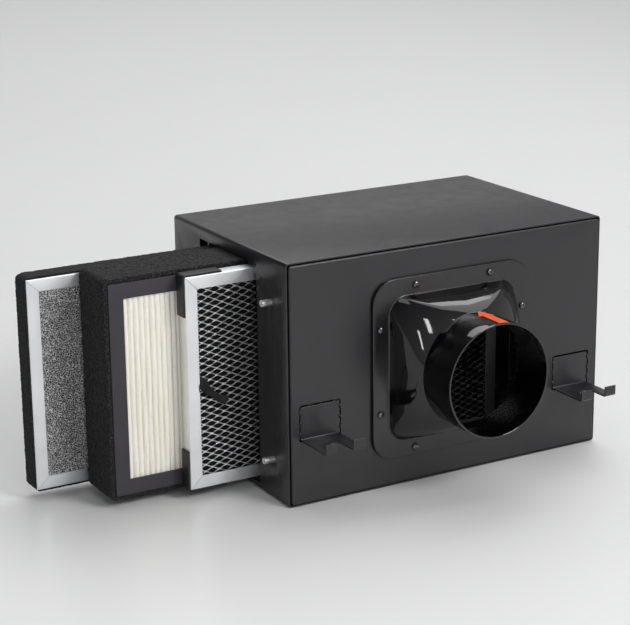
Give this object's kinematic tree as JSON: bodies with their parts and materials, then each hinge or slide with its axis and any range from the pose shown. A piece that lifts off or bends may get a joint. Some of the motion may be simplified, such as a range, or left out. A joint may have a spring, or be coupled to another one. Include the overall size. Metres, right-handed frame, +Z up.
{
  "type": "solder fume extractor",
  "caption": "Black steel inline fume filter box with square-to-round duct collars, hanging hooks and slide-out mesh prefilter, pleated HEPA and carbon cartridges.",
  "frame": {"origin": "centre of the housing's bottom face", "axes": "+Z up, -Y towards the inlet collar, +Y towards the outlet collar, the cartridges pull out towards -X"},
  "size_m": [0.4882, 0.3508, 0.208],
  "materials": {
    "powder_coat": "matte black powder coat",
    "gloss_black": "glossy black moulded plastic",
    "black_zinc": "black zinc",
    "bright_zinc": "bright zinc",
    "galvanised": "galvanised sheet",
    "aluminium": "satin",
    "black_plastic": "satin black",
    "frame_board": "dark coated board",
    "filter_paper": "cream filter paper",
    "black_foam": "black foam and felt",
    "carbon_foam": "carbon-loaded open-cell foam",
    "webbing": "woven webbing",
    "label_orange": "vinyl label"
  },
  "bodies": {
    "housing": {"housing_shell": "powder_coat", "front_panel": "powder_coat", "rear_panel": "powder_coat", "guide_rail_lower": "galvanised", "guide_rail_upper": "galvanised", "cover_standoff_front_lower": "bright_zinc", "cover_standoff_front_upper": "bright_zinc", "cover_standoff_rear_lower": "bright_zinc", "cover_standoff_rear_upper": "bright_zinc", "hanging_hook_front_left": "powder_coat", "hanging_hook_front_right": "powder_coat", "hanging_hook_rear_left": "powder_coat", "hanging_hook_rear_right": "powder_coat", "inlet_collar": "gloss_black", "outlet_collar": "gloss_black", "inlet_screw_1": "black_zinc", "inlet_screw_2": "black_zinc", "inlet_screw_3": "black_zinc", "inlet_screw_4": "black_zinc", "inlet_screw_5": "black_zinc", "inlet_screw_6": "black_zinc", "inlet_screw_7": "black_zinc", "inlet_screw_8": "black_zinc", "outlet_screw_1": "black_zinc", "outlet_screw_2": "black_zinc", "outlet_screw_3": "black_zinc", "outlet_screw_4": "black_zinc", "outlet_screw_5": "black_zinc", "outlet_screw_6": "black_zinc", "outlet_screw_7": "black_zinc", "outlet_screw_8": "black_zinc", "airflow_arrow": "label_orange"},
    "prefilter": {"prefilter_frame_top": "aluminium", "prefilter_frame_bottom": "aluminium", "prefilter_frame_outer": "aluminium", "prefilter_frame_inner": "aluminium", "prefilter_mesh_front": "aluminium", "prefilter_mesh_back": "aluminium", "prefilter_pad": "black_foam", "prefilter_cap_inner_top": "black_plastic", "prefilter_cap_inner_bottom": "black_plastic", "prefilter_cap_outer_top": "black_plastic", "prefilter_cap_outer_bottom": "black_plastic", "prefilter_pull_tab": "webbing"},
    "hepa_filter": {"hepa_frame": "frame_board", "hepa_pleat_pack": "filter_paper", "hepa_foam_wrap": "black_foam"},
    "carbon_filter": {"carbon_frame_top": "aluminium", "carbon_frame_bottom": "aluminium", "carbon_frame_outer": "aluminium", "carbon_frame_inner": "aluminium", "carbon_foam_slab": "carbon_foam", "carbon_felt_wrap": "black_foam"}
  },
  "joints": [
    {"name": "prefilter_slide", "type": "slide", "parent": "housing", "child": "prefilter", "axis": [-1, 0, 0], "range_m": [-0.0639, 0.217]},
    {"name": "hepa_slide", "type": "slide", "parent": "housing", "child": "hepa_filter", "axis": [-1, 0, 0], "range_m": [-0.1278, 0.153]},
    {"name": "carbon_slide", "type": "slide", "parent": "housing", "child": "carbon_filter", "axis": [-1, 0, 0], "range_m": [-0.1745, 0.106]}
  ]
}
